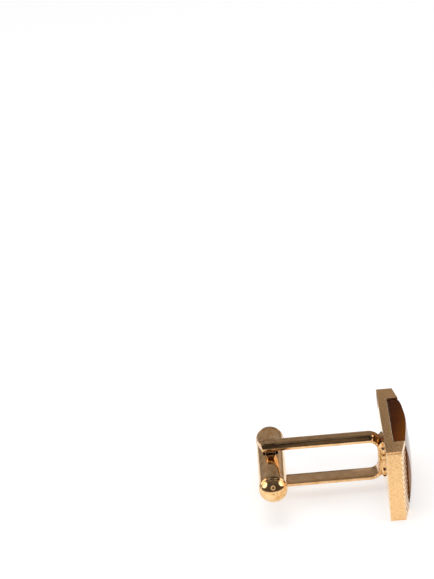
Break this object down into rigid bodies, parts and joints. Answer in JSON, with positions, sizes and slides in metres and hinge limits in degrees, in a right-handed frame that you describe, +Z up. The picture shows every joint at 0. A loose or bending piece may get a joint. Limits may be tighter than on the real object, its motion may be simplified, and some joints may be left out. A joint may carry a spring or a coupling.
{
  "type": "cufflink",
  "caption": "Rectangular gold-coloured cufflink with ribbed ends, a domed brown stone, a U-shaped bevelled post and a swivelling bullet back",
  "frame": {"origin": "On the lower long side of the face plate, at the middle of its length and of the web's thickness.", "axes": "+X out of the face, towards the stone; +Y along the plate; +Z up across the plate's short side. The post and bullet lie at -X, and the bullet is parallel to Y at rest."},
  "size_m": [0.0232, 0.0212, 0.0114],
  "materials": {
    "satin_gold": "gold-plated brass, satin on the plate's sides",
    "polished_gold": "gold-plated brass, polished, with fine drawing lines and light wear",
    "solder": "hard solder with dark pits, gold plated over",
    "banded_stone": "polished opaque brown stone with upright fibres, golden towards the middle",
    "dark_cement": "dark jeweller's cement",
    "spring_steel": "bare spring steel strip"
  },
  "bodies": {
    "frame": {"face_plate": "satin_gold", "stone": "banded_stone", "stone_cement": "dark_cement", "post_frame": "polished_gold", "solder_seam": "solder", "pivot_pin": "polished_gold"},
    "bullet": {"bullet_tube": "polished_gold", "bullet_cap_left": "polished_gold", "bullet_cap_right": "polished_gold", "leaf_spring_inner": "spring_steel", "leaf_spring_outer": "spring_steel"}
  },
  "joints": [
    {"name": "bullet_swivel", "type": "hinge", "parent": "frame", "child": "bullet", "pos_m": [-0.01752, 0, 0.0057], "axis": [0, 0, 1], "continuous": true, "deforming": ["leaf_spring_inner", "leaf_spring_outer"]}
  ]
}
